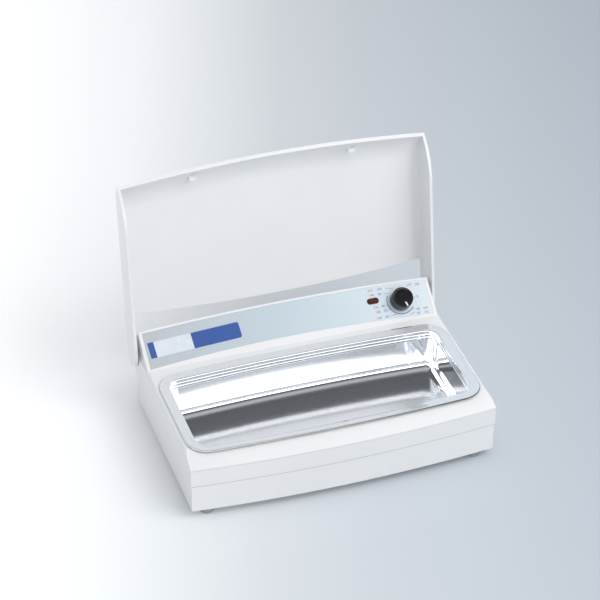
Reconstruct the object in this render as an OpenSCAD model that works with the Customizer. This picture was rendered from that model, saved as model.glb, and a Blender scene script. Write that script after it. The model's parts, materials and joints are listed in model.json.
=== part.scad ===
// Dental lab wax heater: a low bowed housing on four rubber feet, a polished
// trough over a flat heater, a sloped control panel and a lid on two side arms.
// X is the width, -Y is the front, +Z is up. The lid is drawn open, as at rest.

/* [Housing] */
// Width across the front crease
body_w = 330; // [320:1:345]
// Depth from the front corners to the rear wall
body_d = 210; // [206:1:216]
// Forward bow of the front face
front_bow = 8.5; // [6:0.5:12]
// Height of the lower shell, which is the parting line
lower_h = 32; // [28:1:36]
// Height of the crease above the shell bottom
crease_h = 53.5; // [52:0.5:56]
// Height of the deck above the shell bottom
deck_h = 61; // [60:0.5:64]
// Depth of the convex shoulder behind the crease
shoulder_d = 35; // [28:1:40]
// Wall thickness of both shells
wall_t = 3; // [2.5:0.1:3.4]
// Inset of the lower shell behind the upper one
lower_inset = 0.8; // [0.4:0.1:1.4]
// Radius of the rear vertical corners
rear_r = 9; // [7:0.5:12]
// Radius along the side edges of the deck
edge_r = 5; // [4:0.5:6]

/* [Panel] */
// Distance from the foot of the sloped panel to the rear wall
panel_d = 48; // [46:0.5:50]
// Slope of the panel from horizontal
panel_a = 37; // [35:0.5:39]
// Length of the slope at its ends
panel_l = 43.6; // [42:0.2:45]
// Arch of the panel's upper edge
panel_arch = 4.8; // [3:0.2:6]
// Step between the housing's side and the panel block's end
panel_step = 2.5; // [1.5:0.25:6]
// Thickness of the silver control foil's backing
foil_t = 0.8; // [0.6:0.1:1]

/* [Trough] */
// Width of the deck beside the trough's opening
trough_side = 16; // [15:0.5:20]
// Front edge of the opening, behind the front corners
trough_y0 = 26; // [25:0.5:28]
// Distance from the opening's rear edge to the foot of the panel
trough_rear = 25; // [24:0.5:27]
// Height of the trough's floor above the shell bottom
trough_floor = 15.8; // [14.8:0.5:22.8]
// Sheet thickness of the trough
sheet_t = 0.8; // [0.6:0.1:1]
// Width of the polished rim
rim_w = 11; // [9:0.5:11.5]

/* [Lid] */
// Angle from closed to the open rest position
lid_open = 99; // [90:1:104]
// Distance from the housing's front corners back to the lid's lip when closed
lip_back = 2; // [1:0.5:6]
// Bow of the front lip
lid_bow = 9; // [6:0.5:12]
// Height of the lid's top above the pivot
lid_top = 22.4; // [21.4:0.2:24]
// Depth of the lid's side walls, top included
lid_depth = 37.4; // [34:0.2:38]
// Wall thickness of the lid
lid_t = 3; // [2.4:0.1:3.2]
// Gap between the housing's sides and the lid's arms
arm_gap = 1; // [0.8:0.1:1.6]
// Radius of the hinge pins
pin_r = 4; // [3:0.25:4]

/* [Knob] */
// Radius of the temperature knob
knob_r = 12; // [10:0.5:12.5]
// Height of the knob's face above the panel
knob_h = 11.5; // [10:0.5:12]
// Pointer position at rest, clockwise from the top
pointer_a = 164; // [0:1:359]

/* [Feet] */
// Height of the rubber feet below the shell
foot_h = 9; // [6:0.5:12]
// Radius of the rubber feet
foot_r = 7.5; // [6:0.5:9]

/* [Cable entry] */
// Radius of the cord hole through the gland
gland_bore_r = 3.5; // [3:0.1:4.5]

/* [Hidden] */
$fn = 72;
big_fn = 720;
e = 0.05;
hw = body_w / 2;
panel_y = body_d - panel_d;
panel_w = body_w - 2 * panel_step;
trough_w = body_w - 2 * trough_side;
trough_y1 = panel_y - trough_rear;
front_rad = (hw * hw + front_bow * front_bow) / (2 * front_bow);
front_cy = front_rad - front_bow;
drop = deck_h - crease_h;
shoulder_rad = (shoulder_d * shoulder_d + drop * drop) / (2 * drop);
part_gap = 0.5;
floor_t = 3;
run_clear = 0.05;

panel_c = cos(panel_a);
panel_s = sin(panel_a);
arch_hw = panel_w / 2;
arch_rad = (arch_hw * arch_hw + panel_arch * panel_arch) / (2 * panel_arch);
ridge_mid = panel_l + panel_arch;
panel_wall = 2.6;
foil_recess = foil_t + 0.2;
foil_hw = arch_hw - 3.5;
foil_lo = 1.5;
foil_lo_bow = 7;
foil_hi = panel_l - 2;
foil_hi_bow = 4.6;
knob_x = hw - 38.5;
knob_v = 23.4;
lamp_x = knob_x - 30.2;
lamp_v = 28.6;
label_x = 9.8 - hw;
label_v = 13;
label_w = 101.4;
label_h = 17.4;
label_r = 2.4;
lamp_w = 12.4;
lamp_h = 5.8;

pivot_y = body_d - 10;
pivot_z = deck_h - 9;
lid_l = pivot_y - lip_back;
arm_in = hw + arm_gap;
lid_hw = arm_in + lid_t;
lid_rad = (lid_hw * lid_hw + lid_bow * lid_bow) / (2 * lid_bow);
lid_tip = lid_l + lid_bow;
nose_r = 41;
nose_d = 32.4;
lip_n = lid_top - nose_r + sqrt(nose_r * nose_r - nose_d * nose_d);
rim_n = lid_top - lid_depth;
brow_d = 47.4;
brow_h = lip_n - rim_n + 0.5;
brow_r = (brow_d * brow_d + brow_h * brow_h) / (2 * brow_h);
lid_edge_r = 8;
arm_end_r = lid_depth / 2;
arm_end_u = 10;
plate_u = 36;
plate_bow = 8;
plate_rad = (arm_in * arm_in + plate_bow * plate_bow) / (2 * plate_bow);
lid_back = 90 - lid_open;
buffer_x = 84;
buffer_n = lid_top - 15.1;

rim_z = deck_h + 1.8;
trough_in_z = trough_floor;
trough_hw = trough_w / 2;
trough_r = 13;
trough_b0 = 5;
trough_b1 = 4.5;
gasket_t = 0.8;
flange_z = deck_h + gasket_t;
hole_clear = 2.7;

mat_t = 1.5;
wool_t = 5;
plate_t = 1.2;
mat_z = trough_in_z - sheet_t - mat_t;
wool_z = mat_z - wool_t;
clamp_z = wool_z - plate_t;
layer_w = trough_hw - 21;
layer_y0 = trough_y0 + 10;
layer_y1 = trough_y1 - 9;
stud_x = trough_hw - 44;
stud_y0 = layer_y0 + 16;
stud_y1 = layer_y1 - 16;
stud_r = 2;
strap_y = (layer_y0 + layer_y1) / 2;
strap_z = deck_h - 21;
strap_foot = layer_w - 16;
strap_x = hw - wall_t - 4.5;

foot_x = hw - 19;
foot_y0 = 10;
foot_y1 = body_d - 18;
foot_seat = foot_h - 3;
wire_r = 1.3;
lead_r = 0.6;
screw_x = hw - 70;
screw_y0 = 7;
screw_xr = hw - 25;
screw_yr = body_d - 50;
boss_r = 4.5;
boss_z = 20;
boss_in = front_cy - screw_y0;
boss_s = sqrt(screw_x * screw_x + boss_in * boss_in) - front_rad + shoulder_d + boss_r;
boss_top = deck_h - shoulder_rad + sqrt(shoulder_rad * shoulder_rad - boss_s * boss_s) - 0.4;
gland_z = 17;
works_y = body_d - 28;
block_x = -45;
bulb_x = 4;
bulb_y = panel_y - 11.5;
bulb_l = knob_x - 43.5 - bulb_x;
cutout_x = -60;
cutout_y = panel_y - 9.5;

// The open lid's rearmost point sets where the middle of the depth is.
lid_rear = pivot_y + nose_r + (lid_tip - nose_d) * sin(-lid_back)
  + (lid_top - nose_r) * cos(lid_back);
y_mid = (lid_rear - front_bow) / 2;

// Moves the body frame, whose zero is at the front corners, to the part's own frame.
module placed() {
  translate([0, -y_mid, foot_h]) children();
}

// Puts children on the panel, at x and v up the slope, with Z along its normal.
module on_panel(x, v, h = 0) {
  translate([x, panel_y + v * panel_c, deck_h + v * panel_s])
    rotate([panel_a, 0, 0]) translate([0, 0, h]) children();
}

// The point that on_panel gives, for use in a path.
function panel_point(x, v, h) = [x, panel_y + v * panel_c - h * panel_s,
  deck_h + v * panel_s + h * panel_c];

// Turns an upright drawing of the lid, front towards -Y, to its open rest position.
module lid_pose() {
  placed() translate([0, pivot_y, pivot_z]) rotate([-lid_open, 0, 0]) children();
}

module mirrored() {
  children();
  mirror([1, 0, 0]) children();
}

// Upright section of half width w whose two upper edges are rounded with radius r.
module round_top(w, low, top, r) {
  difference() {
    translate([-w, low]) square([2 * w, top - low]);
    mirrored() translate([w - r, top - r]) difference() {
      square(r + 1);
      circle(r);
    }
  }
}

// One corner to cut away so that a radius r blends a side into a bowed edge.
module corner_cut(cx, cy, dx, dy, r) {
  k = 2.2 * r;
  difference() {
    polygon([[cx, cy], [cx + dx * k, cy + dy * k], [cx + k, cy + dy * k], [cx + k, cy]]);
    translate([cx, cy]) circle(r);
  }
}

// Rounded rectangle whose front and rear edges bow outwards by b0 and b1.
module bowed(w, y0, y1, b0, b1, r) {
  r0 = (w * w + b0 * b0) / (2 * b0);
  r1 = (w * w + b1 * b1) / (2 * b1);
  c0 = y0 - b0 + r0;
  c1 = y1 + b1 - r1;
  xc = w - r;
  yc0 = c0 - sqrt((r0 - r) * (r0 - r) - xc * xc);
  yc1 = c1 + sqrt((r1 - r) * (r1 - r) - xc * xc);
  difference() {
    intersection() {
      translate([-w, y0 - b0 - 1]) square([2 * w, y1 + b1 - y0 + b0 + 2]);
      translate([0, c0]) circle(r0, $fn = big_fn);
      translate([0, c1]) circle(r1, $fn = big_fn);
    }
    mirrored() {
      corner_cut(xc, yc0, xc / (r0 - r), (yc0 - c0) / (r0 - r), r);
      corner_cut(xc, yc1, xc / (r1 - r), (yc1 - c1) / (r1 - r), r);
    }
  }
}

// Housing outline from above, moved inwards by d.
module housing_plan(d) {
  r = rear_r - min(d, rear_r - 2);
  intersection() {
    union() {
      translate([-hw + d, -20]) square([body_w - 2 * d, body_d - d - r + 20]);
      translate([-hw + d + r, body_d - d - r - 1]) square([body_w - 2 * d - 2 * r, r + 1]);
      mirrored() translate([hw - d - r, body_d - d - r]) circle(r);
    }
    translate([0, front_cy]) circle(front_rad - d, $fn = big_fn);
  }
}

// Shell body up to the deck with the shoulder and rounded side edges, inwards by d.
module deck_solid(d) {
  top = deck_h - d;
  rs = shoulder_rad - d;
  er = max(edge_r - d, 1.5);
  sx = front_rad - shoulder_d;
  intersection() {
    translate([0, 0, lower_h + part_gap]) linear_extrude(60) housing_plan(d);
    translate([0, front_cy, 0]) rotate_extrude($fn = big_fn) union() {
      square([sx, top]);
      intersection() {
        translate([sx - e, 0]) square([shoulder_d - d + e, top]);
        translate([sx, deck_h - shoulder_rad]) circle(rs, $fn = 180);
      }
    }
    translate([0, body_d + 5, 0]) rotate([90, 0, 0]) linear_extrude(body_d + 40)
      round_top(hw - d, 0, top, er);
  }
}

// Block that carries the sloped panel, inwards by d, with its arched ridge.
module panel_solid(d) {
  w = panel_w / 2 - d;
  intersection() {
    translate([-w, 0, lower_h + part_gap]) cube([2 * w, body_d - d, 90]);
    on_panel(0, 0, -120 - d) linear_extrude(120)
      translate([0, ridge_mid - arch_rad]) circle(arch_rad - d, $fn = big_fn);
    translate([-w, 0, 0]) rotate([90, 0, 90]) linear_extrude(2 * w)
      polygon([[panel_y - 20, deck_h - 6 - d], [panel_y, deck_h - d],
        [panel_y + 80 * panel_c, deck_h + 80 * panel_s], [body_d + 40, deck_h + 60],
        [body_d + 40, 0], [panel_y - 20, 0]]);
  }
}

module lower_housing() color([0.93, 0.93, 0.94]) placed() difference() {
  union() {
    difference() {
      linear_extrude(lower_h) housing_plan(lower_inset);
      translate([0, 0, floor_t]) linear_extrude(lower_h) housing_plan(lower_inset + wall_t);
    }
    mirrored() {
      translate([screw_x, screw_y0, e]) cylinder(r = boss_r, h = boss_z - e);
      translate([screw_xr, screw_yr, e]) cylinder(r = boss_r, h = boss_z - e);
      translate([foot_x, foot_y0, e]) cylinder(r = 5, h = 10);
      translate([foot_x, foot_y1, e]) cylinder(r = 5, h = 10);
    }
    translate([-16, body_d - lower_inset - 3.5, 6]) cube([32, 3, 22]);
  }
  mirrored() {
    for (p = [[screw_x, screw_y0], [screw_xr, screw_yr]]) translate([p[0], p[1], -1]) {
      cylinder(r = 2.2, h = boss_z + 2);
      cylinder(r = 3.9, h = 5);
    }
    for (y = [foot_y0, foot_y1]) translate([foot_x, y, -1]) cylinder(r = 1.5, h = 9);
    for (i = [0:5]) translate([22 + 16 * i, panel_y - 17, -1]) cube([4, 22, floor_t + 2]);
  }
  translate([0, body_d - 10, gland_z]) rotate([-90, 0, 0]) cylinder(r = 6.1, h = 20);
}

module upper_housing() color([0.96, 0.96, 0.97]) placed() difference() {
  union() {
    difference() {
      union() {
        deck_solid(0);
        panel_solid(0);
      }
      translate([0, 0, -e]) deck_solid(wall_t);
      translate([0, 0, -e]) panel_solid(panel_wall);
    }
    difference() {
      translate([0, 0, lower_h + part_gap]) linear_extrude(5) housing_plan(wall_t - 0.5);
      translate([0, 0, lower_h - 1]) linear_extrude(10) housing_plan(lower_inset + wall_t + 1.5);
    }
    difference() {
      translate([0, 0, lower_h - 4]) linear_extrude(5) housing_plan(lower_inset + wall_t + 0.2);
      translate([0, 0, lower_h - 5]) linear_extrude(10) housing_plan(lower_inset + wall_t + 1.5);
    }
    mirrored() {
      translate([screw_x, screw_y0, boss_z + 0.2])
        cylinder(r = boss_r, h = boss_top - boss_z - 0.2);
      translate([screw_xr, screw_yr, boss_z + 0.2])
        cylinder(r = boss_r, h = deck_h - boss_z - 1);
      translate([hw - 14, pivot_y, pivot_z]) rotate([0, 90, 0]) cylinder(r = 8.5, h = 14);
      translate([strap_x + 1.2, strap_y, strap_z]) rotate([0, 90, 0]) cylinder(r = 4.5, h = 5);
    }
  }
  translate([0, 0, deck_h - 20]) linear_extrude(30)
    bowed(trough_hw + hole_clear, trough_y0 - hole_clear, trough_y1 + hole_clear,
      trough_b0, trough_b1, trough_r + hole_clear);
  mirrored() {
    translate([screw_x, screw_y0, 0]) cylinder(r = 1.6, h = boss_z + 22);
    translate([screw_xr, screw_yr, 0]) cylinder(r = 1.6, h = boss_z + 22);
    translate([hw - 20, pivot_y, pivot_z]) rotate([0, 90, 0]) cylinder(r = 6, h = 30);
    translate([strap_x, strap_y, strap_z]) rotate([0, 90, 0]) cylinder(r = 1.25, h = 7.5);
  }
  on_panel(0, 0, -foil_recess) linear_extrude(6) foil_plan(0);
  on_panel(knob_x, knob_v, -12) cylinder(r = 5.2, h = 20);
  on_panel(lamp_x, lamp_v, -12) linear_extrude(20) slot_plan(lamp_w, lamp_h);
  translate([0, front_cy, crease_h - 1.3]) difference() {
    cylinder(r = front_rad + 5, h = 0.8, $fn = big_fn);
    translate([0, 0, -1]) cylinder(r = front_rad - 0.7, h = 3, $fn = big_fn);
  }
}

// Outline of the recess for the control foil, moved inwards by d.
module foil_plan(d) {
  w = foil_hw - d;
  hi_rad = (foil_hw * foil_hw + foil_hi_bow * foil_hi_bow) / (2 * foil_hi_bow);
  lo_rad = (foil_hw * foil_hw + foil_lo_bow * foil_lo_bow) / (2 * foil_lo_bow);
  difference() {
    intersection() {
      translate([-w, foil_lo + d]) square([2 * w, 70]);
      translate([0, foil_hi + foil_hi_bow - hi_rad]) circle(hi_rad - d, $fn = big_fn);
    }
    translate([0, foil_lo + foil_lo_bow - lo_rad]) circle(lo_rad + d, $fn = big_fn);
  }
}

// Slot of width w and height h with round ends.
module slot_plan(w, h) {
  difference() {
    square([w, h], center = true);
    mirrored() translate([(w - h) / 2, 0]) difference() {
      translate([0, -h]) square([h, 2 * h]);
      circle(h / 2);
    }
  }
}

// Trough section as [inset from the opening, height]: inner skin first, then outer.
function arc_in(n) = [for (i = [0:n]) let (a = 90 * i / n)
  [2.5 + 9 * (1 - cos(a)), trough_in_z + 9 * (1 - sin(a))]];
function arc_out(n) = [for (i = [n:-1:0]) let (a = 90 * i / n)
  [2.5 - sheet_t + (9 + 0.2) * (1 - cos(a)), trough_in_z - sheet_t + (9 + 0.2) * (1 - sin(a))]];
function skin_in() = concat([[-rim_w, flange_z + 0.1], [-rim_w - 0.1, rim_z - 0.5],
  [-rim_w + 0.6, rim_z], [-rim_w + 1.8, rim_z - 0.1], [-1.2, rim_z - 0.4],
  [-0.3, rim_z - 0.8], [0.1, rim_z - 1.8], [0.2, rim_z - 7], [1.0, rim_z - 9]], arc_in(6));
function skin_out() = concat(arc_out(6), [[1.0 - sheet_t, rim_z - 9.2],
  [0.2 - sheet_t, rim_z - 7.4], [-0.7, rim_z - 2.2], [-1.4, flange_z]]);

// Ring of points round the bowed opening, moved inwards by d, at height z.
function ring_pt(w, y0, y1, b0, b1, r, q, t) =
  let (r0 = (w * w + b0 * b0) / (2 * b0), r1 = (w * w + b1 * b1) / (2 * b1),
    c0 = y0 - b0 + r0, c1 = y1 + b1 - r1, xc = w - r,
    yc0 = c0 - sqrt((r0 - r) * (r0 - r) - xc * xc),
    yc1 = c1 + sqrt((r1 - r) * (r1 - r) - xc * xc),
    a0 = asin(xc / (r0 - r)), a1 = asin(xc / (r1 - r)))
  q == 0 ? [r0 * sin(a0 * (2 * t - 1)), c0 - r0 * cos(a0 * (2 * t - 1))]
  : q == 1 ? [xc + r * sin(a0 + (90 - a0) * t), yc0 - r * cos(a0 + (90 - a0) * t)]
  : q == 2 ? [xc + r * cos((90 - a1) * t), yc1 + r * sin((90 - a1) * t)]
  : q == 3 ? [r1 * sin(a1 * (1 - 2 * t)), c1 + r1 * cos(a1 * (1 - 2 * t))]
  : q == 4 ? [-xc - r * sin(a1 + (90 - a1) * t), yc1 + r * cos(a1 + (90 - a1) * t)]
  : [-xc - r * cos((90 - a0) * t), yc0 - r * sin((90 - a0) * t)];
ring_n = [20, 8, 8, 20, 8, 8];
ring_count = 72;
function ring(d, z) = [for (q = [0:5], i = [0:ring_n[q] - 1])
  let (p = ring_pt(trough_hw - d, trough_y0 + d, trough_y1 - d, trough_b0, trough_b1,
    max(trough_r - d, 2.5), q, i / ring_n[q])) [p[0], p[1], z]];

// Triangles that join the rings of a section to the next ring, and the last to the first.
// No triangles follow the ring numbered open.
function ring_faces(rows, open = -1) = [for (j = [0:rows - 1], i = [0:ring_count - 1])
  if (j != open) each
    let (k = (i + 1) % ring_count, m = (j + 1) % rows)
      [[j * ring_count + i, m * ring_count + k, j * ring_count + k],
       [j * ring_count + i, m * ring_count + i, m * ring_count + k]]];

module trough() color([0.75, 0.77, 0.79]) placed() {
  sec = concat(skin_in(), skin_out());
  n_in = len(skin_in());
  pts = [for (s = sec) each ring(s[0], s[1])];
  side = ring_faces(len(sec), n_in - 1);
  bottom_in = [for (i = [ring_count - 1:-1:0]) (n_in - 1) * ring_count + i];
  bottom_out = [for (i = [0:ring_count - 1]) n_in * ring_count + i];
  polyhedron(points = pts, faces = concat(side, [bottom_in], [bottom_out]), convexity = 6);
  for (x = [-stud_x, stud_x], y = [stud_y0, stud_y1])
    translate([x, y, clamp_z - 3.3]) cylinder(r = stud_r, h = trough_in_z - 0.4 - clamp_z + 3.3);
}

module trough_gasket() color([0.55, 0.56, 0.58]) placed() {
  sec = [[1 - rim_w, deck_h], [1 - rim_w, flange_z], [-hole_clear, flange_z],
    [-hole_clear, deck_h]];
  polyhedron(points = [for (s = sec) each ring(s[0], s[1])], faces = ring_faces(len(sec)),
    convexity = 4);
}

// Flat layer under the trough, pierced for its four studs.
module layer(z, t, w, y0, y1, hole) {
  translate([0, 0, z]) linear_extrude(t) difference() {
    translate([-w, y0]) square([2 * w, y1 - y0]);
    for (x = [-stud_x, stud_x], y = [stud_y0, stud_y1]) translate([x, y]) circle(hole);
  }
}

module heater_mat() color([0.72, 0.35, 0.16]) placed()
  layer(mat_z, mat_t, layer_w - 4, layer_y0 + 4, layer_y1 - 4, stud_r + 0.6);

module insulation() color([0.85, 0.82, 0.66]) placed()
  layer(wool_z, wool_t, layer_w, layer_y0, layer_y1, stud_r + 0.4);

module clamp_plate() color([0.66, 0.68, 0.7]) placed()
  layer(clamp_z, plate_t, layer_w, layer_y0, layer_y1, stud_r + 0.2);

module clamp_nuts() color([0.7, 0.71, 0.73]) placed()
  for (x = [-stud_x, stud_x], y = [stud_y0, stud_y1]) translate([x, y, clamp_z - 2.8])
    difference() {
      cylinder(r = 4.04, h = 2.8, $fn = 6);
      translate([0, 0, -1]) cylinder(r = stud_r + 0.02, h = 6);
    }

module trough_straps() color([0.66, 0.68, 0.7]) placed() mirrored() difference() {
  union() {
    translate([strap_foot, strap_y - 12, clamp_z - 1.2])
      cube([strap_x - strap_foot + 1.2, 24, 1.2]);
    translate([strap_x, strap_y - 12, clamp_z - 1.2]) cube([1.2, 24, strap_z + 8 - clamp_z]);
  }
  translate([strap_x - 5, strap_y, strap_z]) rotate([0, 90, 0]) cylinder(r = 1.7, h = 10);
}

module strap_screws() color([0.7, 0.71, 0.73]) placed() mirrored()
  translate([strap_x, strap_y, strap_z]) rotate([0, 90, 0]) {
    translate([0, 0, -2]) cylinder(r = 2.8, h = 2);
    translate([0, 0, -0.1]) cylinder(r = 1.2, h = 7);
  }

module control_foil() color([0.7, 0.76, 0.81]) placed() difference() {
  on_panel(0, 0, -foil_recess) linear_extrude(foil_t) foil_plan(0.15);
  on_panel(knob_x, knob_v, -5) cylinder(r = 5.3, h = 10);
  on_panel(lamp_x, lamp_v, -5) linear_extrude(10) slot_plan(lamp_w + 0.2, lamp_h + 0.2);
}

module label_plate() color([0.1, 0.22, 0.55]) placed()
  on_panel(label_x, label_v, foil_t - foil_recess) rotate([0, 0, 2.5]) linear_extrude(0.3) {
    square([label_w - label_r, label_h]);
    translate([label_w - label_r, label_r]) circle(label_r);
    translate([label_w - label_r, label_h - label_r]) circle(label_r);
    translate([label_w - label_r - 1, label_r]) square([label_r + 1, label_h - 2 * label_r]);
  }

module pilot_lens() color([0.35, 0.05, 0.05]) placed() on_panel(lamp_x, lamp_v, 0) {
  translate([0, 0, -5]) linear_extrude(5.5) slot_plan(lamp_w - 0.3, lamp_h - 0.3);
}

module pilot_body() color([0.12, 0.12, 0.13]) placed() on_panel(lamp_x, lamp_v, 0) difference() {
  translate([0, 0, -22]) linear_extrude(21.9 - panel_wall) slot_plan(lamp_w + 3, lamp_h + 3);
  translate([0, 0, -5.1]) linear_extrude(6) slot_plan(lamp_w - 0.1, lamp_h - 0.1);
}

module thermostat_body() color([0.3, 0.3, 0.32]) placed() on_panel(knob_x, knob_v, 0) {
  difference() {
    union() {
      translate([-17, -13, -24]) cube([34, 26, 24 - panel_wall - 0.1]);
      translate([0, 0, -panel_wall - 1]) cylinder(r = 5, h = panel_wall + 4.6);
    }
    translate([0, 0, -8]) cylinder(r = 3 + run_clear, h = 20);
  }
}

module thermostat_nut() color([0.7, 0.71, 0.73]) placed() on_panel(knob_x, knob_v, 0)
  translate([0, 0, foil_t - foil_recess]) difference() {
    cylinder(r = 7.8, h = 2.6, $fn = 6);
    translate([0, 0, -1]) cylinder(r = 5.02, h = 6);
  }

// Tube of radius r through a list of points, with its ends square.
module tube(path, r) {
  m = 10;
  last = len(path) - 1;
  dir = [for (i = [0:last])
    let (v = path[min(i + 1, last)] - path[max(i - 1, 0)]) v / norm(v)];
  pts = [for (i = [0:last]) each
    let (s = cross(dir[i], [0.31, 0.17, 0.93]), a = s / norm(s), b = cross(dir[i], a))
      [for (k = [0:m - 1]) path[i] + r * (cos(360 * k / m) * a + sin(360 * k / m) * b)]];
  side = [for (i = [0:last - 1], k = [0:m - 1]) each
    let (n = (k + 1) % m)
      [[i * m + k, i * m + m + k, i * m + m + n], [i * m + k, i * m + m + n, i * m + n]]];
  ends = [[for (k = [0:m - 1]) k], [for (k = [m - 1:-1:0]) last * m + k]];
  polyhedron(points = pts, faces = concat(side, ends), convexity = 4);
}

// Points of a smooth path through a list of points.
function smooth(p, n = 6) = concat([for (i = [0:len(p) - 2], k = [0:n - 1])
  let (a = p[max(i - 1, 0)], b = p[i], c = p[i + 1], d = p[min(i + 2, len(p) - 1)], t = k / n)
    0.5 * (2 * b + (c - a) * t + (2 * a - 5 * b + 4 * c - d) * t * t
      + (3 * b - a - 3 * c + d) * t * t * t)], [p[len(p) - 1]]);

module capillary() color([0.72, 0.45, 0.28]) placed()
  tube(smooth([panel_point(knob_x - 8.5, 18.84, -24.84), [knob_x - 18.5, works_y + 14, deck_h - 17],
    [knob_x - 24.5, works_y, 34], [knob_x - 29.5, bulb_y + 9.5, 27],
    [knob_x - 36.5, bulb_y + 0.5, 26], [knob_x - 40.5, bulb_y, 26],
    [bulb_x + bulb_l + 0.02, bulb_y, 26]]), 0.9);

module sensor_bulb() color([0.72, 0.45, 0.28]) placed()
  translate([bulb_x, bulb_y, 26]) rotate([0, 90, 0]) cylinder(r = 3, h = bulb_l);

module safety_cutout() color([0.14, 0.14, 0.15]) placed()
  translate([cutout_x, cutout_y, 30]) rotate([-90, 0, 0]) {
    cylinder(r = 9, h = 8);
    translate([-3.2, -2, 7.5]) cube([1.2, 4, 8]);
    translate([2, -2, 7.5]) cube([1.2, 4, 8]);
  }

module terminal_block() color([0.88, 0.88, 0.84]) placed()
  translate([block_x, works_y, floor_t]) difference() {
    cube([36, 16, 14]);
    for (i = [0:2]) translate([6 + 12 * i, 8, 4]) cylinder(r = 3, h = 14);
  }

// Leads from the terminals to the cut-out, the thermostat and the heater mat.
module wiring() color([0.15, 0.2, 0.6]) placed() {
  tube(smooth([[block_x - 0.2, works_y + 8, 10], [block_x - 5, works_y + 8, 10],
    [cutout_x, works_y + 2, 20], [cutout_x - 2.6, cutout_y + 23.5, 29],
    [cutout_x - 2.6, cutout_y + 15.7, 30]]), wire_r);
  tube(smooth([[block_x + 36.2, works_y + 5, 10], [block_x + 42, works_y + 5, 10],
    [40, works_y, 20], [knob_x - 34.5, works_y + 4, deck_h - 19],
    panel_point(knob_x - 16.9, 15.36, -24.98)]), wire_r);
  tube(smooth([[block_x + 18, works_y - 0.2, 9], [block_x + 18, works_y - 6, 9],
    [block_x + 18, panel_y - 12, 9], [block_x + 18, layer_y1 + 13, 10.3],
    [block_x + 18, layer_y1 + 7, 13], [block_x + 18, layer_y1 + 3, mat_z + mat_t / 2 - 0.3],
    [block_x + 18, layer_y1, mat_z + mat_t / 2 - 0.05],
    [block_x + 18, layer_y1 - 3.95, mat_z + mat_t / 2]]), lead_r);
}

module earth_lug() color([0.78, 0.66, 0.3]) placed() translate([-stud_x, stud_y1, clamp_z - 3.6])
  difference() {
    union() {
      cylinder(r = 4, h = 0.8);
      translate([-2, 0, 0]) cube([4, 16, 0.8]);
    }
    translate([0, 0, -1]) cylinder(r = stud_r + 0.1, h = 4);
  }

// Cord entry through the rear wall; its bore is where the cord goes in.
module cord_gland() color([0.16, 0.16, 0.17]) placed()
  translate([0, body_d - lower_inset, gland_z]) rotate([-90, 0, 0]) difference() {
    union() {
      cylinder(r = 9, h = 5, $fn = 6);
      translate([0, 0, 5 - e]) cylinder(r = 7, h = 6);
      translate([0, 0, -9]) cylinder(r = 6, h = 9 + e);
    }
    translate([0, 0, -12]) cylinder(r = gland_bore_r, h = 30);
  }

module gland_nut() color([0.16, 0.16, 0.17]) placed()
  translate([0, body_d - lower_inset - 3.5 - 3.1, gland_z]) rotate([-90, 0, 0]) difference() {
    cylinder(r = 9, h = 3, $fn = 6);
    translate([0, 0, -1]) cylinder(r = 6.02, h = 6);
  }

module hinge_bushes() color([0.8, 0.8, 0.78]) placed() mirrored()
  translate([hw - 14, pivot_y, pivot_z]) rotate([0, 90, 0]) difference() {
    union() {
      cylinder(r = 6, h = 14 + arm_gap - 0.2);
      translate([0, 0, 14]) cylinder(r = 7.5, h = arm_gap - 0.2);
    }
    translate([0, 0, -1]) cylinder(r = pin_r + run_clear, h = 20);
  }

module rubber_feet() color([0.2, 0.2, 0.21]) placed() mirrored()
  for (y = [foot_y0, foot_y1]) translate([foot_x, y, -foot_h]) difference() {
    union() {
      translate([0, 0, 1]) cylinder(r = foot_r, h = foot_h - 1);
      cylinder(r1 = foot_r - 0.8, r2 = foot_r, h = 1 + e);
    }
    translate([0, 0, -1]) cylinder(r = 3.4, h = foot_seat + 1);
    cylinder(r = 1.8, h = foot_h + 1);
  }

module foot_screws() color([0.7, 0.71, 0.73]) placed() mirrored()
  for (y = [foot_y0, foot_y1]) translate([foot_x, y, 0]) {
    translate([0, 0, foot_seat - 2 - foot_h]) cylinder(r = 3.2, h = 2);
    translate([0, 0, foot_seat - 1 - foot_h]) cylinder(r = 1.45, h = foot_h + 1);
  }

module housing_screws() color([0.7, 0.71, 0.73]) placed() mirrored()
  for (p = [[screw_x, screw_y0], [screw_xr, screw_yr]]) translate([p[0], p[1], 0]) {
    translate([0, 0, 1.4]) cylinder(r = 3.6, h = 2.6);
    translate([0, 0, 3]) cylinder(r = 1.55, h = boss_z + 16);
  }

// Lid body drawn closed with the pivot at zero: front towards -Y, top at lid_top.
module lid_solid(d) {
  w = lid_hw - d;
  top = lid_top - d;
  sx = lid_rad - nose_d;
  bx = lid_rad - brow_d;
  low = d > 0 ? 30 : 0;
  intersection() {
    translate([0, lid_rad - lid_tip, 0]) rotate_extrude($fn = big_fn) difference() {
      union() {
        translate([0, rim_n - low]) square([sx, top - rim_n + low]);
        intersection() {
          translate([sx - e, rim_n - low]) square([nose_d + e - d, lid_depth + low]);
          union() {
            translate([sx, lid_top - nose_r]) circle(nose_r - d);
            translate([sx - e, rim_n - low]) square([nose_d - d + e, lip_n - rim_n + low]);
          }
        }
      }
      if (d == 0) difference() {
        translate([bx, rim_n - 1]) square([brow_d + 20, brow_h + 4]);
        translate([bx, rim_n + brow_r]) circle(brow_r);
      }
    }
    translate([0, 60, 0]) rotate([90, 0, 0]) linear_extrude(60 + lid_tip + 10)
      round_top(w, rim_n - low, top, lid_edge_r - d);
    if (d == 0) translate([-w - 1, 0, 0]) rotate([90, 0, 90]) linear_extrude(2 * w + 2) union() {
      translate([-arm_end_u, rim_n + arm_end_r]) circle(arm_end_r);
      translate([-lid_tip - 5, rim_n]) square([lid_tip + 5 - arm_end_u, lid_depth]);
    }
  }
}

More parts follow.
